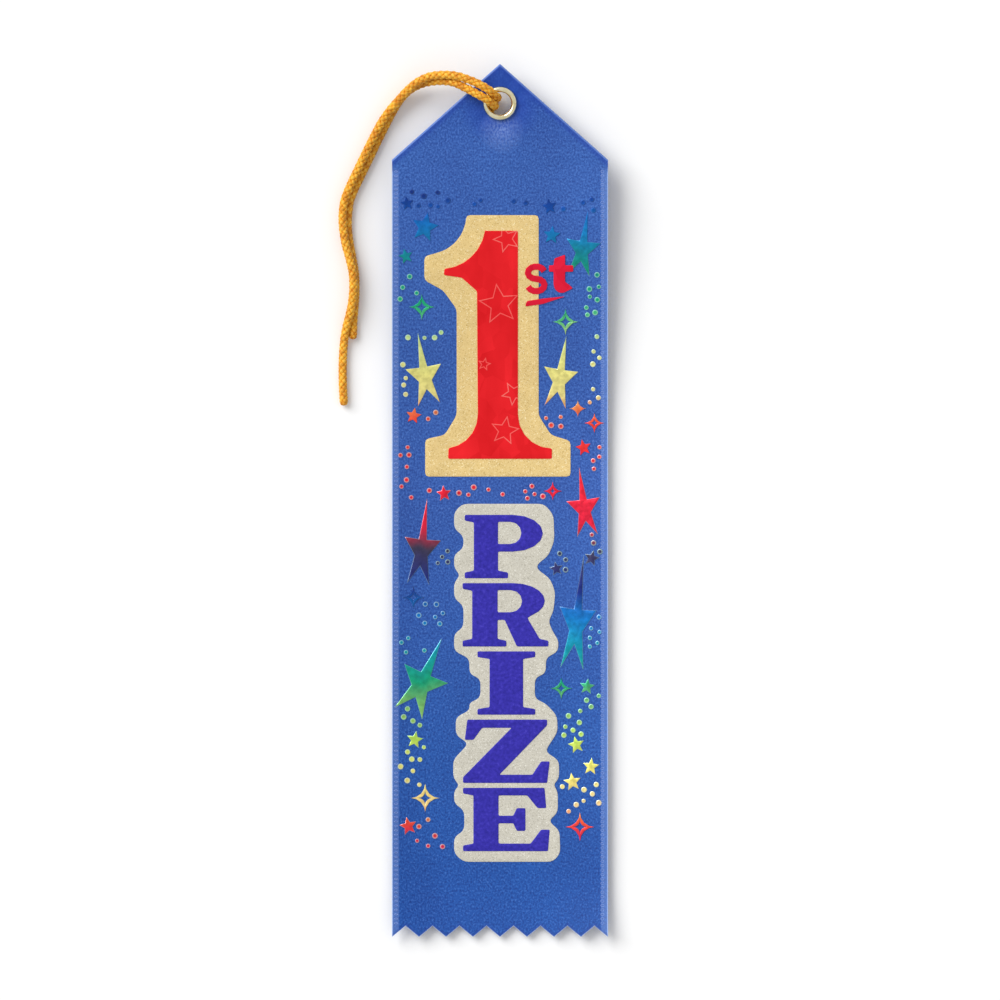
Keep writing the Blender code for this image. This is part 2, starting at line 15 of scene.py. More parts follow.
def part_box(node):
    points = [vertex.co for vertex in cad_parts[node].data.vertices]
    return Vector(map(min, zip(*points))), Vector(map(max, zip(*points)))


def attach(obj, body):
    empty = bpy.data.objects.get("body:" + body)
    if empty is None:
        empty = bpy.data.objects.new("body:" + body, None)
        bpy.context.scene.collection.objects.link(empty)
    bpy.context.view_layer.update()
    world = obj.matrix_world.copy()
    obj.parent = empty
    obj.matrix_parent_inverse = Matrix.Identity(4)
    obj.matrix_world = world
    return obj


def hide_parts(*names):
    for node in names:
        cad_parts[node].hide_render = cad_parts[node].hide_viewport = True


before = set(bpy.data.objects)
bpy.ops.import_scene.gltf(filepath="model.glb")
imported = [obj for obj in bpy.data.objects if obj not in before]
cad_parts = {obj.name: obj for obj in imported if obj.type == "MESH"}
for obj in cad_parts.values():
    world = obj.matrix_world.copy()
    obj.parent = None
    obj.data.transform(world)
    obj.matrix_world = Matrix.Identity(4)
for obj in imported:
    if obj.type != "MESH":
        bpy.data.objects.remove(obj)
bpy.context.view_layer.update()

MM = 0.001

# From the frame
STRIP_LOW, STRIP_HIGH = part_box("ribbon_strip")
EYELET_LOW, EYELET_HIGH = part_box("eyelet")
KNOT_LOW, KNOT_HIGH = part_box("cord_knot")
EYE = (EYELET_LOW + EYELET_HIGH) / 2
KNOT = (KNOT_LOW + KNOT_HIGH) / 2
TIP_Y = STRIP_HIGH.y
BOTTOM_Y = STRIP_LOW.y

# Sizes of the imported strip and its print
HALF_WIDTH = 25.4 * MM
SHEET = 0.3 * MM
GAP = 0.25 * MM
FOIL = 0.15 * MM
TIP_SLOPE = radians(41.6)
TOOTH_COUNT = 8
TOOTH_DEPTH = 2.6 * MM
PINKED_END = 6.5 * MM
FOLD_RADIUS = (SHEET + GAP) / 2
FOLD_REACH = FOLD_RADIUS + SHEET / 2
LIFT = STRIP_HIGH.z - SHEET
RISE_START = 8.0 * MM
RISE_END = 77.0 * MM
HOLE_RADIUS = 3.1 * MM
SHOULDER_Y = TIP_Y - HALF_WIDTH * sin(TIP_SLOPE) / cos(TIP_SLOPE)

# How the satin lies
SIDE_CURL = 1.9 * MM
END_CURL = 1.5 * MM
END_CURL_LENGTH = 15.0 * MM
WAVE = 0.16 * MM
SELVAGE = 1.7 * MM
SELVAGE_PITCH = 1.04 * MM
CUT_FADE = 0.9 * MM
FLAP_Y = TIP_Y - HALF_WIDTH * sin(2 * TIP_SLOPE)
FLAP_RELIEF = 0.12 * MM

# How the print lies on the satin
PRINT_SINK = 0.01 * MM
UPPER_LAYER = 0.11 * MM
RAISED_STAR_BASE = 0.215 * MM
RAISED_STAR_HEIGHT = 0.05 * MM
STAR_LINE = 0.62 * MM
DOT_HEIGHT = 0.15 * MM
DOT_SINK = 0.02 * MM
DOT_GAP = 0.5 * MM
DOT_TRIES = 40
FOIL_LOW_Y = -82
FOIL_HIGH_Y = 74

# Eyelet, in millimetres
BORE = 2.65
WALL = 2.92
TURNED_SIDES = 72

# Cord
CORD_DIAMETER = 1.8 * MM
BRAID_PITCH = 6.2 * MM
BRAID_RADIUS = 0.64 * MM
BRAID_SWING = 0.17 * MM
YARN_COUNT = 8
YARN_SIDES = 8
YARN_WIDTH = 0.92 * MM
YARN_THICKNESS = 0.5 * MM
TIP_LENGTH = 0.9 * MM
STRAND_STEP = 0.24 * MM
KNOT_STEP = 0.3 * MM
KNOT_LIFT = 0.08 * MM
LONG_ROUTE = (
    (-0.6, 94.75, 3.5), (-0.6, 94.75, 4.8), (-0.74, 94.88, 6.15), (-1.15, 95.26, 7.28),
    (-1.82, 95.88, 8.18), (-2.72, 96.6, 8.76), (-3.85, 97.32, 8.98), (-5.5, 98.2, 8.92),
    (-7.8, 99.12, 8.6), (-10.4, 99.9, 8.3), (-13.5, 100.1, 7.5), (-16.6, 99.7, 6.2),
    (-19.4, 98.4, 4.95), (-21.7, 96.5, 3.95), (-23.7, 94.3, 3.25), (-25.7, 92.0, 2.9),
    (-27.7, 89.2, 2.65), (-29.3, 86.3, 2.55), (-32.8, 79.2, 2.5), (-36.1, 72.0, 2.5),
    (-36.95, 68.1, 2.55), (-36.95, 64.5, 2.65), (-36.35, 60.4, 2.8), (-35.4, 56.9, 2.9),
    (-34.65, 53.5, 2.95), (-34.5, 50.0, 2.95), (-34.8, 46.5, 2.9), (-35.4, 43.6, 2.7),
    (-36.05, 41.1, 2.25), (-36.6, 38.0, 1.5), (-36.9, 34.5, 1.0), (-37.0, 31.0, 0.93),
    (-36.95, 27.0, 0.93), (-36.7, 22.4, 0.93),
)
SHORT_ROUTE = (
    (-1.25, 92.8, 3.5), (-1.25, 92.8, 4.6), (-1.39, 92.95, 6.0), (-1.82, 93.35, 7.2),
    (-2.5, 93.93, 8.12), (-3.45, 94.55, 8.7), (-4.65, 95.2, 8.88), (-6.4, 96.14, 8.66),
    (-8.35, 97.14, 8.08), (-10.8, 98.25, 7.2), (-13.5, 98.65, 6.0), (-16.4, 98.45, 4.5),
    (-19.0, 97.75, 3.0), (-21.5, 96.3, 1.9), (-23.5, 94.2, 1.2), (-25.1, 91.65, 0.95),
    (-26.7, 88.6, 0.93), (-28.15, 85.7, 0.93), (-31.6, 78.6, 0.93), (-34.9, 71.55, 0.93),
    (-35.65, 67.9, 0.93), (-35.8, 64.5, 0.93), (-35.4, 60.6, 0.93), (-34.75, 57.1, 0.93),
    (-34.15, 53.5, 0.93), (-34.0, 50.0, 0.93), (-34.15, 46.5, 0.93), (-34.4, 43.4, 0.93),
    (-34.55, 40.8, 0.93), (-34.6, 38.0, 0.93),
)

# Framing and light
VIEW_WIDTH = 0.2352
VIEW_CENTRE_Y = 0.1 * MM
CAMERA_HEIGHT = 2.0
TABLE_REACH = 3.0
TABLE_DROP = 0.02 * MM
KEY_ENERGY = 2.75
KEY_ANGLE = radians(44)
TOWARDS_KEY = (-1.0, 0.9, 1.0)
SURROUND_STRENGTH = 0.66
WHITE = (1, 1, 1, 1)
TABLE_WHITE = (0.88, 0.88, 0.88, 1)


# Materials


def colour(red, green, blue):
    """A linear colour from its everyday 0 to 255 values."""
    parts = []
    for value in (red, green, blue):
        share = value / 255
        parts.append(share / 12.92 if share <= 0.04045 else ((share + 0.055) / 1.055) ** 2.4)
    return (*parts, 1.0)


class Finish:
    """A Principled material with short ways to add and join nodes."""

    def __init__(self, name, **values):
        self.material = bpy.data.materials.new(name)
        self.material.use_nodes = True
        self.tree = self.material.node_tree
        self.shader = self.tree.nodes["Principled BSDF"]
        for socket, value in values.items():
            self.shader.inputs[socket.replace("_", " ").title().replace("Ior", "IOR")].default_value = value

    def add(self, kind, **values):
        node = self.tree.nodes.new("ShaderNode" + kind)
        for name, value in values.items():
            setattr(node, name, value)
        return node

    def join(self, source, target):
        self.tree.links.new(source, target)

    def place(self, scale, attribute=None):
        """Coordinates in metres from the model's frame, or a vertex attribute's, stretched by scale."""
        mapping = self.add("Mapping")
        mapping.inputs["Scale"].default_value = scale
        if attribute:
            source = self.add("Attribute", attribute_name=attribute).outputs["Vector"]
        else:
            source = self.add("TexCoord").outputs["Object"]
        self.join(source, mapping.inputs["Vector"])
        return mapping.outputs["Vector"]

    def speckle(self, place, detail=2.0, roughness=0.5):
        """Smooth noise from 0 to 1."""
        texture = self.add("TexNoise")
        texture.inputs["Scale"].default_value = 1.0
        texture.inputs["Detail"].default_value = detail
        texture.inputs["Roughness"].default_value = roughness
        self.join(place, texture.inputs["Vector"])
        return texture.outputs["Fac"]

    def cells(self, place):
        """Voronoi cells, for flakes and facets."""
        texture = self.add("TexVoronoi")
        texture.inputs["Scale"].default_value = 1.0
        self.join(place, texture.inputs["Vector"])
        return texture

    def ramp(self, source, stops):
        """Stops are (place from 0 to 1, colour) pairs."""
        node = self.add("ValToRGB")
        elements = node.color_ramp.elements
        while len(elements) > 1:
            elements.remove(elements[-1])
        elements[0].position, elements[0].color = stops[0]
        for position, value in stops[1:]:
            elements.new(position).color = value
        self.join(source, node.inputs["Fac"])
        return node.outputs["Color"]

    def spread(self, source, low, high, new_low=0.0, new_high=1.0):
        """Carries the range from low to high over to the new one, clamped at both ends."""
        node = self.add("MapRange")
        sockets = ("From Min", "From Max", "To Min", "To Max")
        for socket, value in zip(sockets, (low, high, new_low, new_high)):
            node.inputs[socket].default_value = value
        self.join(source, node.inputs["Value"])
        return node.outputs["Result"]

    def axis(self, place, name):
        node = self.add("SeparateXYZ")
        self.join(place, node.inputs["Vector"])
        return node.outputs[name]

    def near(self, place, x, y, full, none, most):
        """A factor that falls from most to 0 between two distances from a point."""
        node = self.add("VectorMath", operation="DISTANCE")
        self.join(place, node.inputs[0])
        node.inputs[1].default_value = (x, y, 0)
        return self.spread(node.outputs["Value"], full, none, most, 0.0)

    def math(self, operation, first, second=None):
        node = self.add("Math", operation=operation)
        self.join(first, node.inputs[0])
        if isinstance(second, (int, float)):
            node.inputs[1].default_value = second
        elif second is not None:
            self.join(second, node.inputs[1])
        return node.outputs[0]

    def mix(self, factor, first, second, blend="MIX"):
        """Mixes two colours, each a socket or a value."""
        node = self.add("Mix", data_type="RGBA", blend_type=blend)
        sockets = (node.inputs[0], node.inputs[6], node.inputs[7])
        for socket, value in zip(sockets, (factor, first, second)):
            if hasattr(value, "links"):
                self.join(value, socket)
            else:
                socket.default_value = value
        return node.outputs[2]

    def bump(self, height, distance, strength):
        node = self.add("Bump")
        node.inputs["Strength"].default_value = strength
        node.inputs["Distance"].default_value = distance
        self.join(height, node.inputs["Height"])
        self.join(node.outputs["Normal"], self.shader.inputs["Normal"])

    def paint(self, source):
        self.join(source, self.shader.inputs["Base Color"])

    def rough(self, source, low, high):
        """Roughness that follows a noise's middle range."""
        self.join(self.spread(source, 0.3, 0.7, low, high), self.shader.inputs["Roughness"])


def satin_ground(finish, height, grain):
    """Blue that drifts down the strip and darkens towards both ends as painted shade, under the mottled
    grain, faint clouds and pale painted highlights.
    """
    # Painted shade: the blue is darker towards the tip and towards the pinked end.
    tint = finish.ramp(finish.spread(height, BOTTOM_Y, TIP_Y), [
        (0.0, colour(26, 88, 172)), (0.2, colour(36, 94, 176)), (0.5, colour(56, 100, 180)),
        (0.78, colour(58, 104, 182)), (0.9, colour(56, 102, 180)), (1.0, colour(32, 80, 168)),
    ])
    mottle = finish.ramp(grain, [
        (0.34, colour(164, 174, 200)), (0.5, colour(226, 229, 238)), (0.62, colour(255, 255, 255)),
    ])
    clouds = finish.speckle(finish.place((70, 45, 1), "flat"), 3.0)
    haze = finish.ramp(clouds, [(0.3, colour(226, 230, 238)), (0.7, colour(255, 255, 255))])
    tint = finish.mix(1.0, finish.mix(1.0, tint, mottle, "MULTIPLY"), haze, "MULTIPLY")
    # Painted highlight: the brightest grain flecks are mixed towards pale blue.
    painted_glints = finish.spread(grain, 0.56, 0.76, 0.0, 0.2)
    return finish.mix(painted_glints, tint, colour(140, 170, 230))


def eyelet_painted_shading(finish, flat, tint):
    """Painted shade in a darker ring of satin round the eyelet, and a painted pale patch of light under it.
    """
    # Painted shade: the satin darkens in a ring round the eyelet.
    ring = finish.near(flat, EYE.x, EYE.y, 4.4 * MM, 10.0 * MM, 0.75)
    tint = finish.mix(ring, tint, colour(20, 62, 160))
    # Painted light: a pale streaky patch just below the eyelet.
    painted_light_patch = finish.near(flat, EYE.x + 0.4 * MM, EYE.y - 6.4 * MM, 0.4 * MM, 5.6 * MM, 0.55)
    rays = finish.speckle(finish.place((2400, 1300, 1), "flat"), 3.0, 0.7)
    patch = finish.math("MULTIPLY", painted_light_patch, finish.spread(rays, 0.36, 0.64))
    return finish.mix(patch, tint, colour(136, 162, 220))


def fold_lines(finish, across, height, tint):
    """Painted shade in a dark line along each folded corner, and a painted highlight on the line where the
    satin turns over.
    """
    along_fold = finish.math("ADD", finish.math("MULTIPLY", across, sin(TIP_SLOPE)),
                             finish.math("MULTIPLY", height, cos(TIP_SLOPE)))
    fold = TIP_Y * cos(TIP_SLOPE) - FOLD_REACH
    # Painted shade: darker satin just inside each fold.
    painted_crease_shade = finish.spread(along_fold, fold - 1.3 * MM, fold - 0.4 * MM, 0.0, 0.55)
    tint = finish.mix(painted_crease_shade, tint, colour(18, 56, 152))
    # Painted highlight: a pale line right on each fold.
    painted_fold_highlight = finish.spread(along_fold, fold - 0.05 * MM, fold + 0.1 * MM, 0.0, 0.4)
    return finish.mix(painted_fold_highlight, tint, colour(130, 164, 228))


def edge_bands(finish, across, height, tint):
    """The lighter selvages with a painted highlight along their outer edges, below the shoulders, and the
    pinked edge.
    """
    below = finish.spread(height, SHOULDER_Y - 3.4 * MM, SHOULDER_Y - 1.6 * MM, 1.0, 0.0)
    band_start = HALF_WIDTH - SELVAGE
    band = finish.spread(across, band_start, band_start + 0.25 * MM, 0.0, 0.3)
    tint = finish.mix(finish.math("MULTIPLY", band, below), tint, colour(120, 152, 215))
    # Painted highlight: a pale line along each long edge, below the shoulders.
    rim = finish.spread(across, HALF_WIDTH - 0.24 * MM, HALF_WIDTH - 0.08 * MM, 0.0, 0.7)
    tint = finish.mix(finish.math("MULTIPLY", rim, below), tint, colour(170, 196, 242))
    cut = finish.add("Attribute", attribute_name="cut").outputs["Fac"]
    tint = finish.mix(finish.math("MULTIPLY", cut, 0.5), tint, colour(18, 44, 136))
    return finish.mix(finish.spread(cut, 0.84, 0.95, 0.0, 0.6), tint, colour(150, 182, 232))


def satin():
    """Blue acetate satin: grain, painted shade and light round the eyelet and along the folds, and
    selvages, in the flat strip's coordinates.
    """
    finish = Finish("satin", roughness=0.45, sheen_weight=0.1, sheen_roughness=0.4, specular_ior_level=0.25)
    flat = finish.place((1, 1, 1), "flat")
    height = finish.axis(flat, "Y")
    across = finish.math("ABSOLUTE", finish.axis(flat, "X"))
    grain = finish.speckle(finish.place((2300, 1900, 1), "flat"), 2.0, 0.7)
    floats = finish.speckle(finish.place((9000, 420, 1), "flat"), 1.0)
    tint = satin_ground(finish, height, grain)
    tint = eyelet_painted_shading(finish, flat, tint)
    tint = fold_lines(finish, across, height, tint)
    finish.paint(edge_bands(finish, across, height, tint))
    finish.rough(grain, 0.46, 0.62)
    finish.bump(finish.math("ADD", grain, floats), 0.04 * MM, 0.7)
    return finish.material


def cut_edge():
    """The frayed edge of the satin, where its pale core shows."""
    finish = Finish("satin_cut_edge", roughness=0.8, sheen_weight=0.2)
    fuzz = finish.speckle(finish.place((4500, 4500, 4500)), 3.0, 0.7)
    finish.paint(finish.ramp(fuzz, [(0.3, colour(110, 135, 200)), (0.65, colour(205, 215, 240))]))
    finish.bump(fuzz, 0.05 * MM, 0.6)
    return finish.material


def selvage_thread():
    """The paler thread of the woven edges."""
    finish = Finish("selvage_thread", roughness=0.6, sheen_weight=0.3)
    fibre = finish.speckle(finish.place((6000, 3000, 3000)), 2.0)
    finish.paint(finish.ramp(fibre, [(0.3, colour(78, 114, 198)), (0.7, colour(146, 172, 226))]))
    finish.bump(fibre, 0.02 * MM, 0.5)
    return finish.material


def cord_yarn():
    """Golden orange yarn: fine filaments run along it, with painted shade where it passes under another
    yarn and painted light on its raised crowns.
    """
    finish = Finish("cord_yarn", roughness=0.55, sheen_weight=0.04, sheen_roughness=0.35,
                    specular_ior_level=0.25)
    filaments = finish.speckle(finish.place((5.0, 5.0, 260), "fibre"), 2.0, 0.6)
    patches = finish.speckle(finish.place((620, 620, 620)), 2.0, 0.6)
    # Painted shade and light: darker where a yarn dips under another or faces into the cord, lighter on
    # top.
    depth = finish.add("Attribute", attribute_name="height").outputs["Fac"]
    painted_yarn_shade = finish.ramp(depth, [
        (0.05, colour(168, 78, 0)), (0.34, colour(248, 144, 10)), (0.68, colour(255, 178, 24)),
        (1.0, colour(255, 202, 76)),
    ])
    streak = finish.ramp(filaments, [(0.3, colour(206, 192, 176)), (0.7, colour(255, 255, 255))])
    patch = finish.ramp(patches, [(0.36, colour(224, 196, 160)), (0.6, colour(255, 255, 255))])
    finish.paint(finish.mix(1.0, finish.mix(1.0, painted_yarn_shade, streak, "MULTIPLY"), patch, "MULTIPLY"))
    finish.rough(filaments, 0.4, 0.6)
    finish.bump(filaments, 0.05 * MM, 0.6)
    return finish.material


def brass():
    """Pale polished brass with fine turning lines and a little tarnish."""
    finish = Finish("pale_brass", metallic=1.0, roughness=0.22)
    tarnish = finish.speckle(finish.place((500, 500, 500)), 4.0, 0.6)
    finish.paint(finish.ramp(tarnish, [(0.3, colour(214, 200, 146)), (0.5, colour(242, 232, 190)),
                                       (0.8, colour(252, 246, 220))]))
    finish.rough(tarnish, 0.14, 0.3)
    scratches = finish.speckle(finish.place((9000, 700, 2000)), 2.0)
    finish.bump(scratches, 0.006 * MM, 0.35)
    return finish.material


def glitter(name, dark, middle, light):
    """Glitter ink: flakes of about a fifth of a millimetre, each at its own angle and brightness."""
    finish = Finish(name, metallic=0.2, roughness=0.45, specular_ior_level=0.25)
    flakes = finish.cells(finish.place((5200, 5200, 1500)))
    tone = finish.axis(flakes.outputs["Color"], "X")
    patch = finish.speckle(finish.place((260, 260, 260)), 3.0)
    base = finish.ramp(tone, [(0.0, dark), (0.22, middle), (0.9, middle), (1.0, light)])
    unevenness = finish.ramp(patch, [(0.3, colour(245, 245, 245)), (0.7, colour(255, 255, 255))])
    finish.paint(finish.mix(1.0, base, unevenness, "MULTIPLY"))
    finish.rough(finish.axis(flakes.outputs["Color"], "Y"), 0.5, 0.72)
    finish.bump(tone, 0.03 * MM, 0.5)
    return finish.material


def rainbow_foil():
    """Foil whose colour shifts in bands down the strip, with a painted highlight in a paler rim round each
    shape.
    """
    finish = Finish("rainbow_foil", metallic=0.55, roughness=0.28)
    length = FOIL_HIGH_Y - FOIL_LOW_Y
    height = finish.spread(finish.axis(finish.place((1, 1, 1)), "Y"), FOIL_LOW_Y * MM, FOIL_HIGH_Y * MM)
    drift = finish.speckle(finish.place((140, 60, 60)), 2.0)
    moved = finish.math("ADD", height, finish.spread(drift, 0.0, 1.0, -0.02, 0.02))
    bands = (
        (-80, (232, 30, 80)), (-76, (250, 84, 48)), (-71, (255, 222, 146)), (-64, (255, 238, 124)),
        (-56, (190, 228, 92)), (-42, (8, 170, 122)), (-34, (0, 160, 190)), (-27, (0, 122, 206)),
        (-21, (16, 44, 140)), (-11, (64, 58, 84)), (-5, (236, 26, 64)), (8, (250, 32, 52)),
        (18, (252, 66, 52)), (22, (252, 136, 78)), (25, (246, 230, 146)), (31, (244, 236, 138)),
        (37, (224, 236, 150)), (42, (92, 202, 130)), (46, (20, 182, 126)), (55, (0, 152, 130)),
        (61, (0, 132, 190)), (66, (0, 116, 200)), (69, (0, 80, 176)), (72, (0, 48, 136)),
    )
    stops = [((y - FOIL_LOW_Y) / length, colour(*value)) for y, value in bands]
    grain = finish.speckle(finish.place((900, 900, 900)), 3.0)
    wear = finish.ramp(grain, [(0.3, colour(222, 222, 222)), (0.65, colour(255, 255, 255))])
    lit = finish.mix(1.0, finish.ramp(moved, stops), wear, "MULTIPLY")
    # Painted highlight: each shape's sides are mixed towards pale cyan, less so near the tip.
    edge = finish.add("Attribute", attribute_name="rim").outputs["Fac"]
    pale = finish.mix(0.55, lit, colour(196, 236, 236))
    under_tip = finish.spread(height, 0.87, 0.93, 0.7, 0.05)
    finish.paint(finish.mix(finish.math("MULTIPLY", finish.spread(edge, 0.05, 0.6), under_tip), lit, pale))
    finish.rough(grain, 0.28, 0.44)
    finish.bump(grain, 0.03 * MM, 0.5)
    return finish.material


def red_foil(name, dark, light, relief):
    """Holographic red foil: facets 3 to 4 mm across, each of its own tone."""
    finish = Finish(name, metallic=0.6, roughness=0.26, specular_ior_level=0.25)
    facets = finish.cells(finish.place((330, 240, 1)))
    tone = finish.axis(facets.outputs["Color"], "X")
    sweep = finish.speckle(finish.place((90, 50, 1)), 3.0)
    mixed = finish.math("ADD", finish.math("MULTIPLY", tone, 0.2), finish.math("MULTIPLY", sweep, 0.9))
    finish.paint(finish.ramp(mixed, [(0.3, dark), (0.75, light)]))
    finish.rough(sweep, 0.32, 0.46)
    finish.bump(tone, relief, 0.4)
    return finish.material


def violet_foil():
    """Dark violet foil with a fine grain."""
    finish = Finish("violet_foil", metallic=0.3, roughness=0.36, specular_ior_level=0.25)
    grain = finish.speckle(finish.place((1400, 1400, 1400)), 3.0, 0.6)
    finish.paint(finish.ramp(grain, [
        (0.3, colour(40, 34, 146)), (0.6, colour(54, 46, 170)), (0.8, colour(80, 72, 190)),
    ]))
    finish.rough(grain, 0.42, 0.56)
    finish.bump(grain, 0.02 * MM, 0.4)
    return finish.material


# Routes and curves


def smooth(points, count):
    """Points on a smooth curve through every given point, count for each stretch between two."""
    result = []
    last = len(points) - 1
    for index in range(last):
        before, start, end, after = (points[max(min(index + k, last), 0)] for k in (-1, 0, 1, 2))
        for step in range(count):
            t = step / count
            result.append(
                start * (1 - 2.5 * t**2 + 1.5 * t**3) + before * (-0.5 * t + t**2 - 0.5 * t**3)
                + end * (0.5 * t + 2 * t**2 - 1.5 * t**3) + after * (-0.5 * t**2 + 0.5 * t**3)
            )
    return result + [points[-1]]


def evenly(points, step):
    """The same line with its points a fixed step apart."""
    travelled = [0.0]
    for a, b in zip(points, points[1:]):
        travelled.append(travelled[-1] + (b - a).length)
    count = max(round(travelled[-1] / step), 2)
    result = []
    index = 0
    for k in range(count + 1):
        target = travelled[-1] * k / count
        while index < len(points) - 2 and travelled[index + 1] < target:
            index += 1
        share = (target - travelled[index]) / (travelled[index + 1] - travelled[index])
        result.append(points[index].lerp(points[index + 1], share))
    return result


def route_line(route, step):
    """A strand's middle line, kept high enough for the plait to lie on the table."""
    lowest = (BRAID_RADIUS + BRAID_SWING + YARN_THICKNESS / 2) / MM
    points = [Vector((x, y, max(z, lowest))) * MM for x, y, z in route]
    return evenly(smooth(points, 8), step)


def carried_frames(line):
    """Tangent and two square directions at each point, carried along without twist."""
    frames = []
    side = Vector((0, 0, 1)).cross(line[1] - line[0])
    side = side.normalized() if side.length > 1e-9 else Vector((1, 0, 0))
    for index in range(len(line)):
        tangent = (line[min(index + 1, len(line) - 1)] - line[max(index - 1, 0)]).normalized()
        side = (side - tangent * side.dot(tangent)).normalized()
        frames.append((tangent, side, tangent.cross(side)))
    return frames


# How high the satin lies


def eased(t):
    """A smooth step from 0 to 1."""
    t = min(max(t, 0.0), 1.0)
    return t * t * (3 - 2 * t)


def rise(y):
    """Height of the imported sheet's underside over the table."""
    return LIFT * eased((y - RISE_START) / (RISE_END - RISE_START))


def surface(x, y):
    """Height of the printed face, with the curl of its edges, its waves and the dent round the eyelet."""
    up = eased((y - RISE_START) / (RISE_END - RISE_START))
    edge = abs(x) / HALF_WIDTH
    height = rise(y) + SHEET + SIDE_CURL * edge**3 * (1 - 0.6 * up)
    height += END_CURL * max(0.0, 1 - (y - BOTTOM_Y) / END_CURL_LENGTH) ** 2
    wave = noise.noise(Vector((x / (16 * MM), y / (24 * MM), 3.0)))
    height += WAVE * (wave + 0.35) * min(1.0, 0.35 + edge)
    flap_edge = FLAP_Y + (abs(x) / HALF_WIDTH) * (SHOULDER_Y - FLAP_Y)
    height += FLAP_RELIEF * eased((y - flap_edge) / (1.4 * MM))
    away = hypot(x - EYE.x, y - EYE.y) / MM
    if away < 16:
        turn = atan2(y - EYE.y, x - EYE.x)
        pucker = sin(9 * turn + 1.3 * sin(2 * turn)) * exp(-(((away - 5.2) / 2.4) ** 2))
        height += (0.11 * pucker - 0.34 * exp(-((away / 5.6) ** 4))) * MM
    return height


def folded(x, y):
    """Where a point of the flat strip lies once its top corner is folded to the back, and how far down."""
    side = (x > 0) - (x < 0)
    past = abs(x) * sin(TIP_SLOPE) + (y - TIP_Y) * cos(TIP_SLOPE) + FOLD_REACH
    if past <= 0:
        return x, y, 0.0
    turn = min(past / FOLD_RADIUS, pi)
    shift = FOLD_RADIUS * sin(turn) - max(past - pi * FOLD_RADIUS, 0.0) - past
    drop = FOLD_RADIUS * (1 - cos(turn))
    return x + side * shift * sin(TIP_SLOPE), y + shift * cos(TIP_SLOPE), drop


def tooth_line(x):
    """Height of the pinked edge at x: tips at both long edges and between the notches."""
    pitch = 2 * HALF_WIDTH / TOOTH_COUNT
    share = ((x + HALF_WIDTH) / pitch) % 1.0
    return BOTTOM_Y + TOOTH_DEPTH * (1 - abs(2 * share - 1))


# Meshes


def make_object(name, mesh, materials, body, replaced=()):
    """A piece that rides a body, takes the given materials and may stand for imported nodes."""
    item = bpy.data.objects.new(name, mesh)
    bpy.context.scene.collection.objects.link(item)
    for material in materials:
        mesh.materials.append(material)
    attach(item, body)
    if replaced:
        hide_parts(*replaced)
    return item


def keep_modifiers(item):
    """Replaces the object's mesh with the one its modifiers make."""
    bpy.context.view_layer.update()
    graph = bpy.context.evaluated_depsgraph_get()
    seen = item.evaluated_get(graph)
    mesh = bpy.data.meshes.new_from_object(seen, preserve_all_data_layers=True, depsgraph=graph)
    item.modifiers.clear()
    item.data = mesh


def cut_with(item, operation, mesh):
    """Cuts the object with a mesh, once its other modifiers have run."""
    cutter = bpy.data.objects.new(mesh.name, mesh)
    bpy.context.scene.collection.objects.link(cutter)
    cut = item.modifiers.new("Cut", "BOOLEAN")
    cut.operation = operation
    cut.object = cutter
    keep_modifiers(item)
    bpy.data.objects.remove(cutter)


def closed_mesh(name, points, faces):
    """A mesh from its points and faces, with its faces pointing out."""
    mesh = bpy.data.meshes.new(name)
    mesh.from_pydata(points, [], faces)
    work = bmesh.new()
    work.from_mesh(mesh)
    bmesh.ops.recalc_face_normals(work, faces=work.faces)
    work.to_mesh(mesh)
    work.free()
    return mesh


def store(mesh, name, values):
    """A number or a vector for each vertex, for the material to read."""
    vector = len(values) and hasattr(values[0], "__len__")
    attribute = mesh.attributes.new(name, "FLOAT_VECTOR" if vector else "FLOAT", "POINT")
    flat = [part for value in values for part in value] if vector else values
    attribute.data.foreach_set("vector" if vector else "value", flat)


def shade(mesh, angle):
    """Smooth shading, but for edges sharper than an angle in degrees."""
    mesh.shade_smooth()
    mesh.set_sharp_from_angle(angle=radians(angle))


def strip_columns():
    """Places across the strip: even in the middle, on every tooth corner, and closer at the selvages."""
    steps = TOOTH_COUNT * 8
    columns = {round(-HALF_WIDTH + 2 * HALF_WIDTH * k / steps, 6) for k in range(steps + 1)}
    for inward in (0.15, 0.4, 1.1, 1.45, 1.7, 1.95):
        for side in (-1, 1):
            columns.add(round(side * (HALF_WIDTH - inward * MM), 6))
    return sorted(columns)


def strip_rows():
    """Heights over the pinked edge, close together near it, then even up to the tip."""
    near = [0.0, 0.12, 0.3, 0.6, 1.0, 1.6, 2.4, 3.4, 4.6]
    far = BOTTOM_Y + PINKED_END
    count = round((TIP_Y - far) / MM)
    return [row * MM for row in near], [far + (TIP_Y - far) * k / count for k in range(count + 1)]


def flat_strip():
    """The strip cut flat, as a grid that follows the pinked edge."""
    columns = strip_columns()
    near, far = strip_rows()
    work = bmesh.new()
    grid = []
    for row in near:
        reach = 1 - row / PINKED_END
        grid.append([
            work.verts.new((x, tooth_line(x) * reach + BOTTOM_Y * (1 - reach) + row, 0)) for x in columns
        ])
    for y in far:
        grid.append([work.verts.new((x, y, 0)) for x in columns])
    for lower, upper in zip(grid, grid[1:]):
        for a, b, c, d in zip(lower, lower[1:], upper[1:], upper):
            work.faces.new((a, b, c, d))
    return work


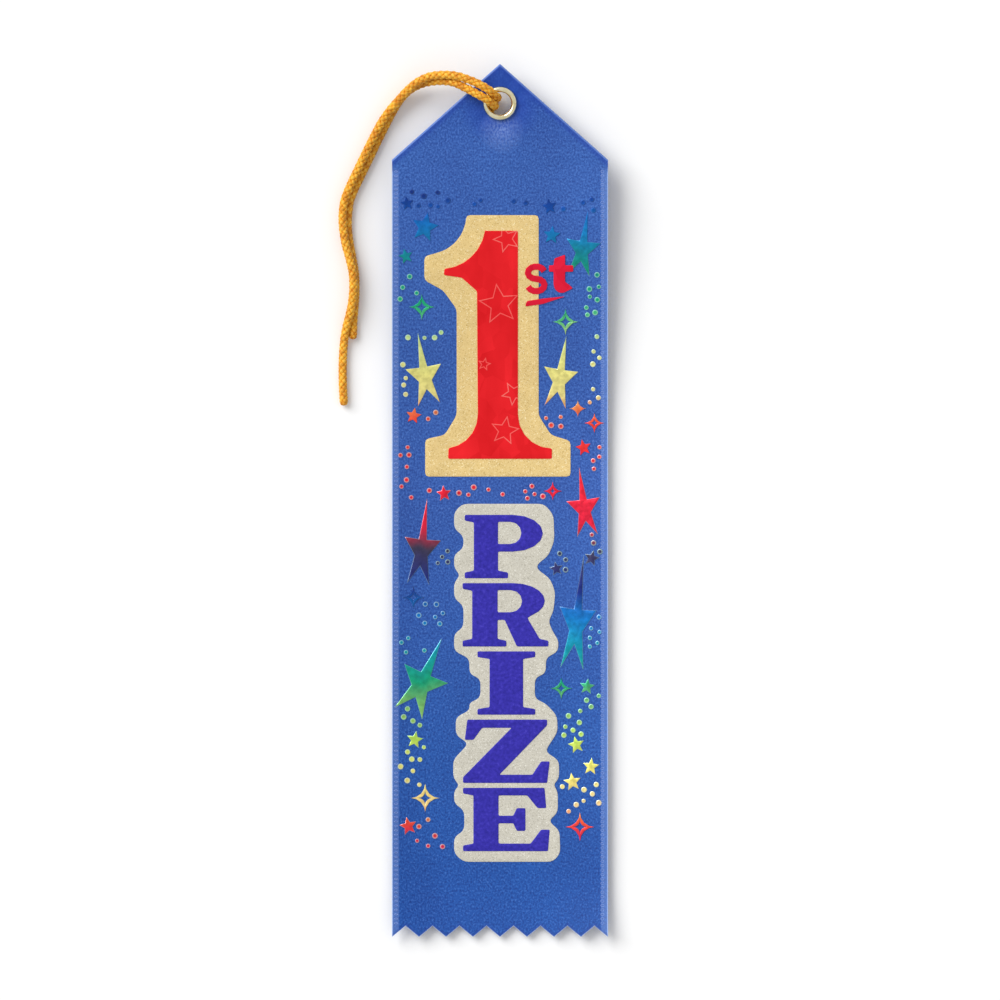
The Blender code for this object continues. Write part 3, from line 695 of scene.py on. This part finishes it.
def cut_at_folds(work):
    """Edges along each fold, so that the satin turns crisply there."""
    for side in (-1, 1):
        normal = Vector((side * sin(TIP_SLOPE), cos(TIP_SLOPE), 0))
        for k in range(-2, 9):
            past = pi * FOLD_RADIUS * k / 6 - FOLD_REACH
            everything = work.verts[:] + work.edges[:] + work.faces[:]
            point = Vector((0, TIP_Y, 0)) + normal * past
            bmesh.ops.bisect_plane(work, geom=everything, dist=0.0005 * MM, plane_co=point, plane_no=normal)


def hole_punch():
    """The cylinder that punches the eyelet's hole."""
    mesh = bpy.data.meshes.new("hole_punch")
    work = bmesh.new()
    bmesh.ops.create_cone(work, cap_ends=True, segments=64, radius1=HOLE_RADIUS, radius2=HOLE_RADIUS,
                          depth=12 * MM)
    bmesh.ops.translate(work, vec=(EYE.x, EYE.y, LIFT), verts=work.verts)
    work.to_mesh(mesh)
    work.free()
    return mesh


def make_strip():
    """The satin strip: flat grid, folded corners, lay on the table, thickness and the eyelet's hole."""
    work = flat_strip()
    cut_at_folds(work)
    mesh = bpy.data.meshes.new("satin_strip")
    places = [vertex.co.copy() for vertex in work.verts]
    for vertex in work.verts:
        x, y, drop = folded(vertex.co.x, vertex.co.y)
        vertex.co = (x, y, surface(x, y) - SHEET / 2 - drop)
    bmesh.ops.recalc_face_normals(work, faces=work.faces)
    work.to_mesh(mesh)
    work.free()
    store(mesh, "flat", places)
    store(mesh, "cut", [max(0.0, 1 - (place.y - tooth_line(place.x)) / CUT_FADE) for place in places])
    materials = [satin(), cut_edge()]
    strip = make_object("satin_strip", mesh, materials, "ribbon", ["ribbon_strip"])
    solid = strip.modifiers.new("Thickness", "SOLIDIFY")
    solid.thickness = SHEET
    solid.offset = 0.0
    solid.material_offset_rim = 1
    cut_with(strip, "DIFFERENCE", hole_punch())
    shade(strip.data, 50)
    return strip


def ring_thread(centre, radii, thread):
    """Points and faces of a thin closed loop of thread lying on the satin."""
    sides, around = 10, 4
    points, faces = [], []
    for k in range(sides):
        turn = 2 * pi * k / sides
        x, y = centre[0] + radii[0] * cos(turn), centre[1] + radii[1] * sin(turn)
        out = Vector((cos(turn), sin(turn), 0))
        for j in range(around):
            lean = 2 * pi * j / around
            spot = Vector((x, y, 0)) + out * thread * cos(lean)
            points.append(Vector((spot.x, spot.y, surface(spot.x, spot.y) + thread * (0.35 + sin(lean)))))
    for k in range(sides):
        for j in range(around):
            a, b = k * around + j, k * around + (j + 1) % around
            c, d = (k + 1) % sides * around + (j + 1) % around, (k + 1) % sides * around + j
            faces.append((a, d, c, b))
    return points, faces


def make_selvage(name, side, inward, radii, thread, material):
    """A row of thread loops down one woven edge."""
    points, faces = [], []
    end = SHOULDER_Y - 2.4 * MM
    y = BOTTOM_Y + TOOTH_DEPTH + 0.6 * MM
    while y < end:
        new_points, new_faces = ring_thread((side * (HALF_WIDTH - inward), y), radii, thread)
        faces += [tuple(index + len(points) for index in face) for face in new_faces]
        points += new_points
        y += SELVAGE_PITCH
    mesh = bpy.data.meshes.new(name)
    mesh.from_pydata(points, [], faces)
    shade(mesh, 80)
    return make_object(name, mesh, [material], "ribbon")


# Print


def levelled(node, level, low, high):
    """A packed print piece laid out flat, with its faces at two heights."""
    work = bmesh.new()
    work.from_mesh(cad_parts[node].data)
    bmesh.ops.remove_doubles(work, verts=work.verts, dist=0.001 * MM)
    packed_base = SHEET + GAP + level * (FOIL + GAP)
    for vertex in work.verts:
        over = vertex.co.z - rise(vertex.co.y) - packed_base
        vertex.co.z = high if over > FOIL / 2 else low
    return work


def top_rim(work, thickness):
    """The edges round the top face of a flat piece."""
    rim = []
    for edge in work.edges:
        on_top = min(vertex.co.z for vertex in edge.verts) > thickness / 2
        slopes = [face.normal.z for face in edge.link_faces]
        if on_top and len(slopes) == 2 and max(slopes) > 0.9 and min(slopes) < 0.5:
            rim.append(edge)
    return rim


def divide(work):
    """Cuts a piece every millimetre or so both ways, so that it can follow the satin."""
    low = Vector((min(v.co[axis] for v in work.verts) for axis in range(3)))
    high = Vector((max(v.co[axis] for v in work.verts) for axis in range(3)))
    for axis, step in ((0, 1.6 * MM), (1, 1.3 * MM)):
        normal = Vector((1, 0, 0)) if axis == 0 else Vector((0, 1, 0))
        for k in range(1, int((high[axis] - low[axis]) / step) + 1):
            everything = work.verts[:] + work.edges[:] + work.faces[:]
            bmesh.ops.bisect_plane(work, geom=everything, dist=0.0005 * MM,
                                   plane_co=low + normal * step * k, plane_no=normal)


def printed(node, level, thickness, bevel, material):
    """A bonded layer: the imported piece's outline with a rounded rim, laid on the curled satin."""
    work = levelled(node, level, 0.0, thickness)
    bmesh.ops.dissolve_limit(work, angle_limit=radians(1), verts=work.verts, edges=work.edges)
    work.normal_update()
    bmesh.ops.bevel(work, geom=top_rim(work, thickness), offset=bevel, segments=2, profile=0.6,
                    affect="EDGES", clamp_overlap=True)
    divide(work)
    lowest = 0.0 if level == 0 else UPPER_LAYER
    # The rim value sets where the foil puts its painted highlight: on the sides, not the top.
    rim_layer = work.verts.layers.float.new("rim")
    for vertex in work.verts:
        vertex[rim_layer] = min(1.0, 1 - vertex.co.z / thickness)
        vertex.co.z += surface(vertex.co.x, vertex.co.y) + lowest - PRINT_SINK
    bmesh.ops.recalc_face_normals(work, faces=work.faces)
    mesh = bpy.data.meshes.new("foil_" + node)
    work.to_mesh(mesh)
    work.free()
    shade(mesh, 30)
    return make_object("foil_" + node, mesh, [material], "ribbon", [node])


def make_print():
    """Every layer of ink and foil on the strip."""
    gold = glitter("gold_glitter", colour(196, 166, 100), colour(227, 199, 136), colour(250, 234, 190))
    silver = glitter("silver_glitter", colour(172, 168, 154), colour(202, 198, 185), colour(236, 234, 224))
    red = red_foil("red_foil", colour(222, 18, 26), colour(252, 38, 46), 0.004 * MM)
    letters = red_foil("red_letter_foil", colour(214, 14, 46), colour(242, 34, 66), 0.004 * MM)
    # Painted highlight: a lighter copy of the red foil for the raised star outlines.
    raised = red_foil("red_foil_painted_highlight", colour(255, 70, 72), colour(255, 128, 120), 0.004 * MM)
    violet = violet_foil()
    rainbow = rainbow_foil()
    printed("numeral_glitter", 0, 0.12 * MM, 0.1 * MM, gold)
    printed("numeral_foil", 1, 0.12 * MM, 0.12 * MM, red)
    make_raised_stars(raised)
    for node in ("ordinal_s", "ordinal_t", "ordinal_dash"):
        printed(node, 1, 0.12 * MM, 0.1 * MM, letters)
    printed("word_glitter", 0, 0.12 * MM, 0.1 * MM, silver)
    for node in sorted(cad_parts):
        if node.startswith("letter_"):
            printed(node, 1, 0.1 * MM, 0.09 * MM, violet)
        if node.startswith(("star_", "sparkle_")):
            printed(node, 0, 0.16 * MM, 0.2 * MM, rainbow)
    make_dots(rainbow)


def star(centre, reach, tilt):
    """A five-pointed star's outline."""
    corners = []
    for k in range(10):
        turn = radians(90 + 36 * k + tilt)
        length = reach * (0.45 if k % 2 else 1.0)
        corners.append((centre[0] + length * cos(turn), centre[1] + length * sin(turn)))
    return corners


def prism(outlines, low, high):
    """Outlines filled between two heights, as a welded mesh."""
    curve = bpy.data.curves.new("outline", "CURVE")
    curve.dimensions = "2D"
    curve.fill_mode = "BOTH"
    curve.extrude = (high - low) / 2
    for outline in outlines:
        spline = curve.splines.new("POLY")
        spline.points.add(len(outline) - 1)
        for point, (x, y) in zip(spline.points, outline):
            point.co = (x, y, 0, 1)
        spline.use_cyclic_u = True
    guide = bpy.data.objects.new("outline", curve)
    bpy.context.scene.collection.objects.link(guide)
    mesh = bpy.data.meshes.new_from_object(guide.evaluated_get(bpy.context.evaluated_depsgraph_get()))
    bpy.data.objects.remove(guide)
    work = bmesh.new()
    work.from_mesh(mesh)
    bmesh.ops.remove_doubles(work, verts=work.verts, dist=0.001 * MM)
    bmesh.ops.translate(work, vec=(0, 0, (low + high) / 2), verts=work.verts)
    work.to_mesh(mesh)
    work.free()
    return mesh


def make_raised_stars(material):
    """Thin raised star outlines in the numeral's foil, cut off at its edge."""
    low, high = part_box("numeral_foil")
    middle = (low + high) / 2
    stars = (
        ((middle.x + 0.3 * MM, middle.y + 9.5 * MM), 5.0 * MM, 8),
        ((middle.x - 3.2 * MM, middle.y - 4.6 * MM), 1.7 * MM, -12),
        ((middle.x + 2.0 * MM, high.y - 2.0 * MM), 3.4 * MM, 20),
        ((middle.x + 1.6 * MM, low.y + 6.6 * MM), 3.6 * MM, -10),
        ((middle.x + 3.6 * MM, middle.y - 11.5 * MM), 3.0 * MM, 30),
    )
    joined = bmesh.new()
    for centre, reach, tilt in stars:
        outlines = [star(centre, reach, tilt), star(centre, reach - STAR_LINE, tilt)]
        joined.from_mesh(prism(outlines, 0.0, RAISED_STAR_HEIGHT))
    rings = bpy.data.meshes.new("numeral_raised_stars")
    joined.to_mesh(rings)
    joined.free()
    item = make_object("numeral_raised_stars", rings, [material], "ribbon")
    stencil = bpy.data.meshes.new("stencil")
    outline = levelled("numeral_foil", 1, -MM, MM)
    outline.to_mesh(stencil)
    outline.free()
    cut_with(item, "INTERSECT", stencil)
    work = bmesh.new()
    work.from_mesh(item.data)
    bmesh.ops.triangulate(work, faces=work.faces)
    for vertex in work.verts:
        vertex.co.z += surface(vertex.co.x, vertex.co.y) + RAISED_STAR_BASE
    work.to_mesh(item.data)
    work.free()


def dot_places():
    """Dots scattered in loose groups down both sides, clear of the other print and of each other.

    A group is its middle, its reach across and along, in millimetres, and its count of dots.
    """
    groups = (
        (-13.5, 71.0, 8.0, 2.2, 7), (1.0, 70.6, 8.0, 1.0, 4), (17.5, 69.0, 6.0, 2.0, 4),
        (-21.5, 50.2, 2.6, 3.2, 4), (21.6, 49.0, 2.2, 5.4, 8), (-18.2, 40.0, 4.6, 2.4, 4),
        (22.6, 35.6, 1.2, 3.6, 4), (-22.8, 28.4, 1.4, 3.6, 4), (22.0, 24.4, 1.8, 2.0, 3),
        (-16.2, 19.8, 1.6, 1.2, 2), (11.8, 18.4, 2.6, 1.4, 4), (22.6, 10.2, 1.6, 3.4, 5),
        (-22.2, 6.4, 1.6, 6.2, 7), (-4.0, 2.2, 13.0, 1.2, 9), (9.0, 1.4, 4.0, 1.6, 4),
        (22.8, -9.6, 1.2, 3.4, 4), (-15.6, -12.6, 3.6, 2.2, 4), (11.2, -14.0, 4.4, 2.6, 6),
        (-18.0, -26.6, 5.0, 2.6, 7), (21.6, -30.4, 2.4, 4.6, 7), (-20.0, -34.4, 3.4, 3.0, 4),
        (21.6, -46.0, 1.8, 3.4, 4), (16.4, -52.6, 3.6, 3.6, 7), (-20.8, -50.6, 3.0, 3.0, 4),
        (-21.0, -62.6, 3.4, 4.6, 8), (19.2, -70.0, 4.6, 3.6, 8), (-17.6, -78.4, 4.2, 3.4, 6),
    )
    tree = print_tree()
    draw = random.Random(7)
    places = []
    for x, y, wide, tall, count in groups:
        for _ in range(count):
            for _ in range(DOT_TRIES):
                spot = ((x + draw.uniform(-wide, wide)) * MM, (y + draw.uniform(-tall, tall)) * MM)
                radius = draw.uniform(0.5, 0.72) * MM
                if abs(spot[0]) > HALF_WIDTH - 1.9 * MM or not is_clear(tree, spot, radius + DOT_GAP):
                    continue
                near = radius + DOT_GAP
                if all(hypot(spot[0] - a, spot[1] - b) > other + near for a, b, other in places):
                    places.append((*spot, radius))
                    break
    return places


def print_tree():
    """The print's outlines seen from above, to measure distances from."""
    points, faces = [], []
    for name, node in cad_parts.items():
        if name.startswith(("star_", "sparkle_", "numeral_glitter", "word_glitter", "ordinal_")):
            start = len(points)
            points += [Vector((v.co.x, v.co.y, 0)) for v in node.data.vertices]
            faces += [tuple(index + start for index in face.vertices) for face in node.data.polygons]
    return BVHTree.FromPolygons(points, faces)


def is_clear(tree, spot, reach):
    """Whether nothing printed lies within reach of a spot."""
    return tree.find_nearest(Vector((*spot, 0)), reach)[0] is None


def make_dots(material):
    """Small domed foil dots, all bonded to the satin."""
    points, faces, rims = [], [], []
    sides = 14
    # Each ring's last value sets how much painted highlight the foil puts on it.
    rings = ((1.0, 0.0, 1.0), (0.96, 0.7, 1.0), (0.76, 1.0, 0.8), (0.5, 0.85, 0.0))
    for x, y, radius in dot_places():
        start = len(points)
        for share, height, rim in rings:
            for k in range(sides):
                turn = 2 * pi * k / sides
                px, py = x + radius * share * cos(turn), y + radius * share * sin(turn)
                points.append((px, py, surface(px, py) - DOT_SINK + DOT_HEIGHT * height))
                rims.append(rim)
        for ring in range(len(rings) - 1):
            for k in range(sides):
                a, b = start + ring * sides + k, start + ring * sides + (k + 1) % sides
                faces.append((a, b, b + sides, a + sides))
        top = start + (len(rings) - 1) * sides
        faces.append(tuple(range(top, top + sides)))
        faces.append(tuple(start + k for k in reversed(range(sides))))
    mesh = bpy.data.meshes.new("foil_dots")
    mesh.from_pydata(points, [], faces)
    store(mesh, "rim", rims)
    shade(mesh, 50)
    make_object("foil_dots", mesh, [material], "ribbon")


# Metal


def turned(name, profile, ripple=None):
    """A closed profile of radius and height in millimetres, turned about the eyelet's axis."""
    points, faces = [], []
    sides = TURNED_SIDES
    count = len(profile)
    for k in range(sides):
        turn = 2 * pi * k / sides
        for radius, height in profile:
            reach = (radius - (ripple(turn, radius, height) if ripple else 0.0)) * MM
            x, y = EYE.x + reach * cos(turn), EYE.y + reach * sin(turn)
            points.append((x, y, SHEET + LIFT + height * MM))
    for k in range(sides):
        for j in range(count):
            a, b = k * count + j, k * count + (j + 1) % count
            c, d = (k + 1) % sides * count + (j + 1) % count, (k + 1) % sides * count + j
            faces.append((a, b, c, d))
    mesh = closed_mesh(name, points, faces)
    mesh.shade_smooth()
    return mesh


def make_metal():
    """The eyelet, with the splits in its rolled back lip, and the washer behind the satin."""
    material = brass()
    flange = [
        (BORE, 0.15), (2.7, 0.55), (2.92, 0.84), (3.28, 0.95), (3.64, 0.88), (3.9, 0.62),
        (4.04, 0.22), (4.0, -0.12), (3.85, -0.14), (3.72, 0.2), (3.3, 0.5), (WALL + 0.05, 0.3),
    ]
    lip = [
        (WALL, -1.45), (3.3, -1.6), (3.6, -1.58), (3.74, -1.72), (3.64, -1.96), (3.3, -2.09),
        (2.9, -2.02), (BORE + 0.03, -1.75), (BORE, -1.2),
    ]
    rim = [
        (3.17, -0.9), (3.5, -0.86), (4.4, -0.88), (4.58, -0.98), (4.6, -1.1), (4.5, -1.2),
        (3.6, -1.22), (3.2, -1.2),
    ]

    def split_lip(turn, radius, height):
        return 0.3 * max(0.0, cos(3 * turn + 0.4)) ** 40 if height < -1.5 and radius > 3.2 else 0.0

    eyelet = turned("brass_eyelet", flange + lip, split_lip)
    washer = turned("brass_washer", rim)
    for mesh, node in ((eyelet, "eyelet"), (washer, "eyelet_washer")):
        ring = make_object(mesh.name, mesh, [material], "ribbon", [node])
        rounded = ring.modifiers.new("Rounded", "SUBSURF")
        rounded.levels = rounded.render_levels = 2


# Cord


def braid(name, line, material, tip=True):
    """Yarns plaited over and under each other along a line, half of them each way, drawn in at a tip."""
    step = (line[1] - line[0]).length
    total = step * (len(line) - 1)
    frames = carried_frames(line)
    lean = 2 * pi * BRAID_RADIUS / BRAID_PITCH
    points, faces, fibre, heights = [], [], [], []
    for yarn in range(YARN_COUNT):
        way = 1 if yarn % 2 else -1
        start = len(points)
        for index, (centre, (tangent, side, up)) in enumerate(zip(line, frames)):
            travelled = index * step
            turn = way * 2 * pi * travelled / BRAID_PITCH + (yarn // 2) * pi / 2
            over = way * cos(8 * pi * travelled / BRAID_PITCH)
            left = (total - travelled) / TIP_LENGTH
            close = sqrt(max(0.0, 1 - (1 - left) ** 2)) if tip and left < 1 else 1.0
            out = side * cos(turn) + up * sin(turn)
            around_cord = (up * cos(turn) - side * sin(turn)) * way
            along = (tangent + around_cord * lean).normalized()
            wide = along.cross(out).normalized()
            spot = centre + out * (BRAID_RADIUS + BRAID_SWING * over) * max(close, 0.08)
            for j in range(YARN_SIDES):
                lobe = 2 * pi * j / YARN_SIDES
                offset = wide * cos(lobe) * YARN_WIDTH / 2 + out * sin(lobe) * YARN_THICKNESS / 2
                points.append(spot + offset * (0.35 + 0.65 * close))
                fibre.append((cos(lobe), sin(lobe) + yarn * 3.0, travelled))
                # This height drives painted shade and light: low where the yarn passes under or faces into
                # the cord.
                heights.append(0.5 + 0.32 * over + 0.3 * sin(lobe))
        last = start + (len(line) - 1) * YARN_SIDES
        for ring in range(start, last, YARN_SIDES):
            for j in range(YARN_SIDES):
                a, b = ring + j, ring + (j + 1) % YARN_SIDES
                faces.append((a, a + YARN_SIDES, b + YARN_SIDES, b))
        faces.append(tuple(start + j for j in range(YARN_SIDES)))
        faces.append(tuple(last + j for j in reversed(range(YARN_SIDES))))
    mesh = closed_mesh(name, points, faces)
    store(mesh, "fibre", fibre)
    store(mesh, "height", heights)
    mesh.shade_smooth()
    return make_object(name, mesh, [material], "cord")


def knot_line(step):
    """A closed trefoil that stands for the overhand knot behind the eyelet; its ends are left out."""
    reach = (KNOT_HIGH - KNOT_LOW) / 2 - Vector((1, 1, 1)) * CORD_DIAMETER / 2
    points = []
    for k in range(121):
        t = 2 * pi * k / 120
        x = (sin(t) + 2 * sin(2 * t)) / 3
        y = (cos(t) - 2 * cos(2 * t)) / 3
        points.append(KNOT + Vector((x * reach.x, y * reach.y, KNOT_LIFT - sin(3 * t) * reach.z)))
    return evenly(points, step)


def make_cords():
    """Both strands of the cord and the knot that joins them."""
    material = cord_yarn()
    knot = braid("cord_overhand_knot", knot_line(KNOT_STEP), material, tip=False)
    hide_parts("cord_knot")
    strands = (
        ("cord_braid_long", LONG_ROUTE, "cord_long_strand"),
        ("cord_braid_short", SHORT_ROUTE, "cord_short_strand"),
    )
    for name, route, node in strands:
        line = route_line(route, STRAND_STEP)
        strand = braid(name, line, material)
        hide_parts(node)


# Stage


def make_camera():
    """A camera straight above the ribbon, without perspective."""
    data = bpy.data.cameras.new("camera")
    data.type = "ORTHO"
    data.ortho_scale = VIEW_WIDTH
    camera = bpy.data.objects.new("camera", data)
    camera.location = (0, VIEW_CENTRE_Y, CAMERA_HEIGHT)
    bpy.context.scene.collection.objects.link(camera)
    bpy.context.scene.camera = camera


def make_stage():
    """White table, soft key light from the upper left, and even white surroundings."""
    mesh = bpy.data.meshes.new("table")
    work = bmesh.new()
    bmesh.ops.create_grid(work, x_segments=1, y_segments=1, size=TABLE_REACH)
    work.to_mesh(mesh)
    work.free()
    table = bpy.data.objects.new("table", mesh)
    bpy.context.scene.collection.objects.link(table)
    table.location.z = -TABLE_DROP
    paper = Finish("table_paper", roughness=0.9, base_color=TABLE_WHITE)
    mesh.materials.append(paper.material)
    key = bpy.data.lights.new("key", "SUN")
    key.energy = KEY_ENERGY
    key.angle = KEY_ANGLE
    lamp = bpy.data.objects.new("key", key)
    lamp.rotation_euler = Vector(TOWARDS_KEY).to_track_quat("Z", "Y").to_euler()
    bpy.context.scene.collection.objects.link(lamp)
    world = bpy.data.worlds.new("studio")
    world.use_nodes = True
    background = world.node_tree.nodes["Background"]
    background.inputs["Color"].default_value = WHITE
    background.inputs["Strength"].default_value = SURROUND_STRENGTH
    bpy.context.scene.world = world
    bpy.context.scene.view_settings.view_transform = "Standard"
    bpy.context.scene.view_settings.look = "None"


make_camera()
make_cords()
strip = make_strip()
thread = selvage_thread()
picots = [
    make_selvage("selvage_left", -1, 0.95 * MM, (0.42 * MM, 0.16 * MM), 0.07 * MM, thread),
    make_selvage("selvage_right", 1, 1.3 * MM, (0.38 * MM, 0.3 * MM), 0.06 * MM, thread),
]
make_print()
make_metal()
make_stage()
